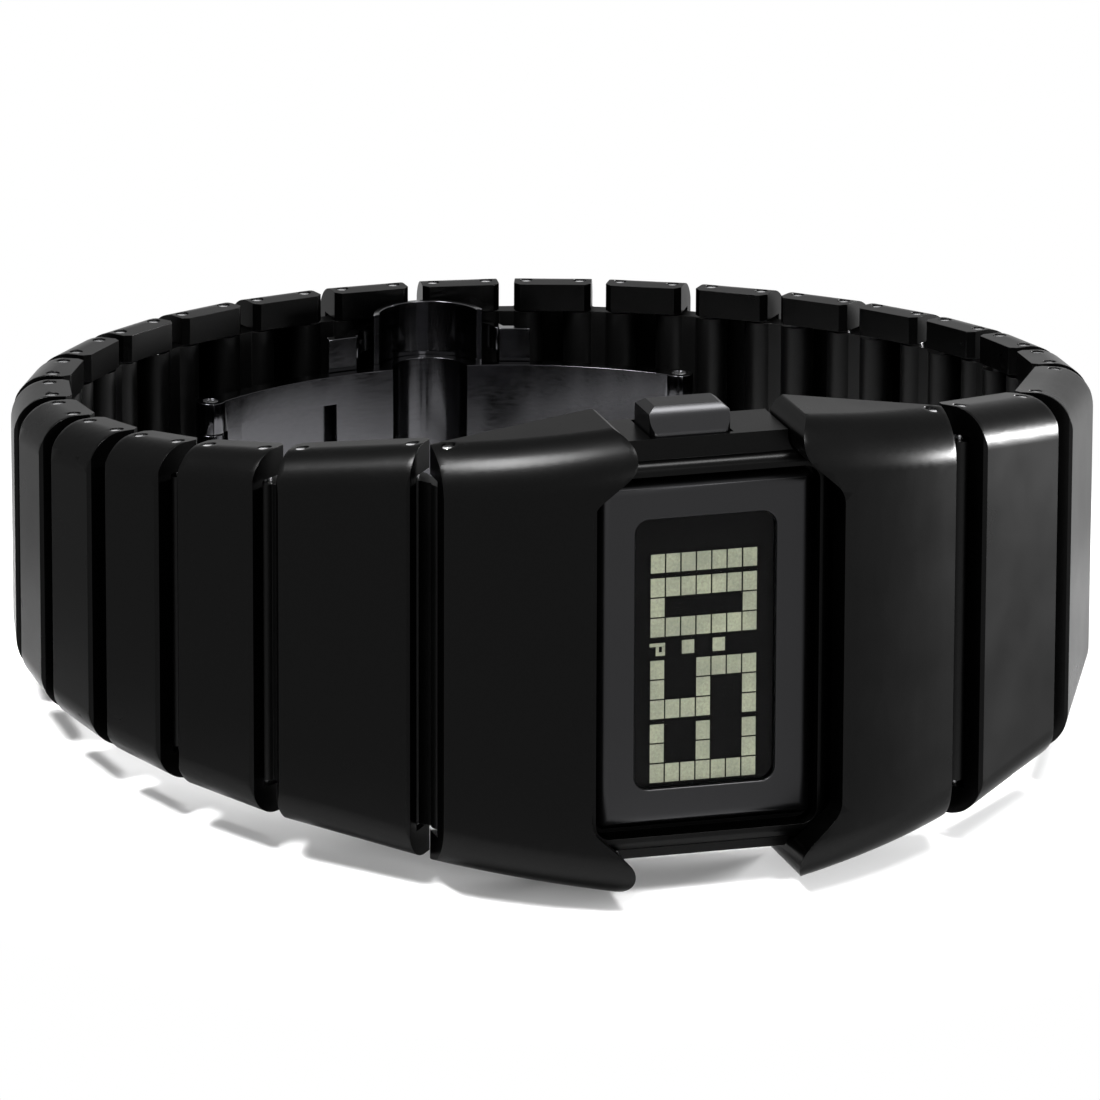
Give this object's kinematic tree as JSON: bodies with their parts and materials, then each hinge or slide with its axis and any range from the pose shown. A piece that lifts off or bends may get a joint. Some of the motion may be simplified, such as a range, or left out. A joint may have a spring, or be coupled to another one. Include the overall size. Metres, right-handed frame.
{
  "type": "digital wristwatch",
  "caption": "Rectangular digital wristwatch with a sideways display between two curved wings, on a tapering black link bracelet with a butterfly clasp.",
  "frame": {"origin": "middle of the case back's flat wrist side", "axes": "+X towards twelve o'clock across the display, +Y out of the case back towards the wrist, +Z along the link pins to the pusher side"},
  "size_m": [0.082, 0.0789, 0.0364],
  "materials": {
    "case_middle": "satin black coated steel",
    "left_wing": "satin black coated steel",
    "right_wing": "satin black coated steel",
    "display_bezel": "gloss black coated steel",
    "window_lens": "clear mineral glass",
    "lcd_panel": "black negative liquid crystal panel",
    "lcd_cells": "pale grey green lit cells",
    "contact_strips": "conductive rubber strips",
    "circuit_board": "green circuit board",
    "module_holder": "moulded white plastic",
    "battery": "nickel plated steel",
    "battery_clip": "sprung steel strap",
    "case_back_gasket": "black rubber",
    "case_back": "brushed steel",
    "case_back_screws": "steel",
    "lug_pins": "ground steel",
    "pusher": "satin black coated steel",
    "pusher_clip": "sprung steel",
    "pusher_o_ring": "black rubber",
    "pusher_spring": "spring steel",
    "clasp_left_arm": "polished steel",
    "clasp_plate": "polished steel",
    "clasp_bridge": "polished steel",
    "clasp_hinge_pins": "ground steel",
    "clasp_right_arm": "polished steel",
    "clasp_end_bar": "ground steel",
    "link_steel": "satin black coated steel"
  },
  "bodies": {
    "case": {"case_middle": "case_middle", "left_wing": "left_wing", "right_wing": "right_wing", "display_bezel": "display_bezel", "window_lens": "window_lens", "lcd_panel": "lcd_panel", "lcd_cells": "lcd_cells", "contact_strips": "contact_strips", "circuit_board": "circuit_board", "module_holder": "module_holder", "battery": "battery", "battery_clip": "battery_clip", "case_back_gasket": "case_back_gasket", "case_back": "case_back", "case_back_screws": "case_back_screws", "lug_pins": "lug_pins", "pusher_spring": "pusher_spring"},
    "pusher": {"pusher": "pusher", "pusher_clip": "pusher_clip", "pusher_o_ring": "pusher_o_ring"},
    "left_01": {"link_left_01": "link_steel"},
    "left_02": {"link_left_02": "link_steel"},
    "left_03": {"link_left_03": "link_steel"},
    "left_04": {"link_left_04": "link_steel"},
    "left_05": {"link_left_05": "link_steel"},
    "left_06": {"link_left_06": "link_steel"},
    "left_07": {"link_left_07": "link_steel"},
    "left_08": {"link_left_08": "link_steel"},
    "left_09": {"link_left_09": "link_steel"},
    "left_10": {"link_left_10": "link_steel"},
    "left_11": {"link_left_11": "link_steel"},
    "left_12": {"link_left_12": "link_steel"},
    "left_arm": {"clasp_left_arm": "clasp_left_arm"},
    "clasp": {"clasp_plate": "clasp_plate", "clasp_bridge": "clasp_bridge", "clasp_hinge_pins": "clasp_hinge_pins"},
    "right_arm": {"clasp_right_arm": "clasp_right_arm", "clasp_end_bar": "clasp_end_bar"},
    "right_01": {"link_right_01": "link_steel"},
    "right_02": {"link_right_02": "link_steel"},
    "right_03": {"link_right_03": "link_steel"},
    "right_04": {"link_right_04": "link_steel"},
    "right_05": {"link_right_05": "link_steel"},
    "right_06": {"link_right_06": "link_steel"},
    "right_07": {"link_right_07": "link_steel"},
    "right_08": {"link_right_08": "link_steel"},
    "right_09": {"link_right_09": "link_steel"},
    "right_10": {"link_right_10": "link_steel"},
    "right_11": {"link_right_11": "link_steel"}
  },
  "joints": [
    {"name": "left_01_hinge", "type": "hinge", "parent": "case", "child": "left_01", "pos_m": [-0.01865, -0.0022, 0], "axis": [0, 0, 1], "range_deg": [0, 4.15]},
    {"name": "left_02_hinge", "type": "hinge", "parent": "left_01", "child": "left_02", "pos_m": [-0.02767, 0.00577, 0], "axis": [0, 0, 1], "range_deg": [0, 4.15]},
    {"name": "left_03_hinge", "type": "hinge", "parent": "left_02", "child": "left_03", "pos_m": [-0.03313, 0.01228, 0], "axis": [0, 0, 1], "range_deg": [0, 4.15]},
    {"name": "left_04_hinge", "type": "hinge", "parent": "left_03", "child": "left_04", "pos_m": [-0.03671, 0.0189, 0], "axis": [0, 0, 1], "range_deg": [0, 4.15]},
    {"name": "left_05_hinge", "type": "hinge", "parent": "left_04", "child": "left_05", "pos_m": [-0.0389, 0.02611, 0], "axis": [0, 0, 1], "range_deg": [0, 4.15]},
    {"name": "left_06_hinge", "type": "hinge", "parent": "left_05", "child": "left_06", "pos_m": [-0.03952, 0.03361, 0], "axis": [0, 0, 1], "range_deg": [0, 4.15]},
    {"name": "left_07_hinge", "type": "hinge", "parent": "left_06", "child": "left_07", "pos_m": [-0.03845, 0.04106, 0], "axis": [0, 0, 1], "range_deg": [0, 4.15]},
    {"name": "left_08_hinge", "type": "hinge", "parent": "left_07", "child": "left_08", "pos_m": [-0.03567, 0.04806, 0], "axis": [0, 0, 1], "range_deg": [0, 4.15]},
    {"name": "left_09_hinge", "type": "hinge", "parent": "left_08", "child": "left_09", "pos_m": [-0.03133, 0.05421, 0], "axis": [0, 0, 1], "range_deg": [0, 4.15]},
    {"name": "left_10_hinge", "type": "hinge", "parent": "left_09", "child": "left_10", "pos_m": [-0.02568, 0.05919, 0], "axis": [0, 0, 1], "range_deg": [0, 4.15]},
    {"name": "left_11_hinge", "type": "hinge", "parent": "left_10", "child": "left_11", "pos_m": [-0.01907, 0.06278, 0], "axis": [0, 0, 1], "range_deg": [0, 4.15]},
    {"name": "left_12_hinge", "type": "hinge", "parent": "left_11", "child": "left_12", "pos_m": [-0.01185, 0.06491, 0], "axis": [0, 0, 1], "range_deg": [0, 4.15]},
    {"name": "left_arm_hinge", "type": "hinge", "parent": "left_12", "child": "left_arm", "pos_m": [-0.00435, 0.06557, 0], "axis": [0, 0, 1], "range_deg": [0, 41.41]},
    {"name": "clasp_opening", "type": "hinge", "parent": "left_arm", "child": "clasp", "pos_m": [-0.02228, 0.05443, 0], "axis": [0, 0, -1], "range_deg": [0, 90]},
    {"name": "right_arm_hinge", "type": "hinge", "parent": "clasp", "child": "right_arm", "pos_m": [0.01567, 0.05259, 0], "axis": [0, 0, -1], "range_deg": [0, 81.77]},
    {"name": "right_01_hinge", "type": "hinge", "parent": "case", "child": "right_01", "pos_m": [0.01865, -0.0022, 0], "axis": [0, 0, -1], "range_deg": [0, 3.41]},
    {"name": "right_02_hinge", "type": "hinge", "parent": "right_01", "child": "right_02", "pos_m": [0.02821, 0.00517, 0], "axis": [0, 0, -1], "range_deg": [0, 3.41]},
    {"name": "right_03_hinge", "type": "hinge", "parent": "right_02", "child": "right_03", "pos_m": [0.03524, 0.01794, 0], "axis": [0, 0, -1], "range_deg": [0, 3.41]},
    {"name": "right_04_hinge", "type": "hinge", "parent": "right_03", "child": "right_04", "pos_m": [0.03641, 0.02538, 0], "axis": [0, 0, -1], "range_deg": [0, 3.41]},
    {"name": "right_05_hinge", "type": "hinge", "parent": "right_04", "child": "right_05", "pos_m": [0.03588, 0.03289, 0], "axis": [0, 0, -1], "range_deg": [0, 3.41]},
    {"name": "right_06_hinge", "type": "hinge", "parent": "right_05", "child": "right_06", "pos_m": [0.03377, 0.04012, 0], "axis": [0, 0, -1], "range_deg": [0, 3.41]},
    {"name": "right_07_hinge", "type": "hinge", "parent": "right_06", "child": "right_07", "pos_m": [0.03026, 0.04678, 0], "axis": [0, 0, -1], "range_deg": [0, 3.41]},
    {"name": "right_08_hinge", "type": "hinge", "parent": "right_07", "child": "right_08", "pos_m": [0.02554, 0.05265, 0], "axis": [0, 0, -1], "range_deg": [0, 3.41]},
    {"name": "right_09_hinge", "type": "hinge", "parent": "right_08", "child": "right_09", "pos_m": [0.01985, 0.05758, 0], "axis": [0, 0, -1], "range_deg": [0, 3.41]},
    {"name": "right_10_hinge", "type": "hinge", "parent": "right_09", "child": "right_10", "pos_m": [0.01337, 0.06142, 0], "axis": [0, 0, -1], "range_deg": [0, 3.41]},
    {"name": "right_11_hinge", "type": "hinge", "parent": "right_10", "child": "right_11", "pos_m": [0.00631, 0.06407, 0], "axis": [0, 0, -1], "range_deg": [0, 3.41]},
    {"name": "pusher_press", "type": "slide", "parent": "case", "child": "pusher", "axis": [0, 0, -1], "range_m": [0, 0.0007], "stiffness_N_per_m": 600, "springref_m": -0.0008, "deforming": ["pusher_spring"]}
  ],
  "couplings": [
    {"joint": "left_01_hinge", "follows": "clasp_opening", "ratio": 0.045926},
    {"joint": "left_02_hinge", "follows": "clasp_opening", "ratio": 0.045926},
    {"joint": "left_03_hinge", "follows": "clasp_opening", "ratio": 0.045926},
    {"joint": "left_04_hinge", "follows": "clasp_opening", "ratio": 0.045926},
    {"joint": "left_05_hinge", "follows": "clasp_opening", "ratio": 0.045926},
    {"joint": "left_06_hinge", "follows": "clasp_opening", "ratio": 0.045926},
    {"joint": "left_07_hinge", "follows": "clasp_opening", "ratio": 0.045926},
    {"joint": "left_08_hinge", "follows": "clasp_opening", "ratio": 0.045926},
    {"joint": "left_09_hinge", "follows": "clasp_opening", "ratio": 0.045926},
    {"joint": "left_10_hinge", "follows": "clasp_opening", "ratio": 0.045926},
    {"joint": "left_11_hinge", "follows": "clasp_opening", "ratio": 0.045926},
    {"joint": "left_12_hinge", "follows": "clasp_opening", "ratio": 0.045926},
    {"joint": "left_arm_hinge", "follows": "clasp_opening", "ratio": 0.45878},
    {"joint": "right_arm_hinge", "follows": "clasp_opening", "ratio": 0.90589},
    {"joint": "right_01_hinge", "follows": "clasp_opening", "ratio": 0.037828},
    {"joint": "right_02_hinge", "follows": "clasp_opening", "ratio": 0.037828},
    {"joint": "right_03_hinge", "follows": "clasp_opening", "ratio": 0.037828},
    {"joint": "right_04_hinge", "follows": "clasp_opening", "ratio": 0.037828},
    {"joint": "right_05_hinge", "follows": "clasp_opening", "ratio": 0.037828},
    {"joint": "right_06_hinge", "follows": "clasp_opening", "ratio": 0.037828},
    {"joint": "right_07_hinge", "follows": "clasp_opening", "ratio": 0.037828},
    {"joint": "right_08_hinge", "follows": "clasp_opening", "ratio": 0.037828},
    {"joint": "right_09_hinge", "follows": "clasp_opening", "ratio": 0.037828},
    {"joint": "right_10_hinge", "follows": "clasp_opening", "ratio": 0.037828},
    {"joint": "right_11_hinge", "follows": "clasp_opening", "ratio": 0.037828}
  ]
}
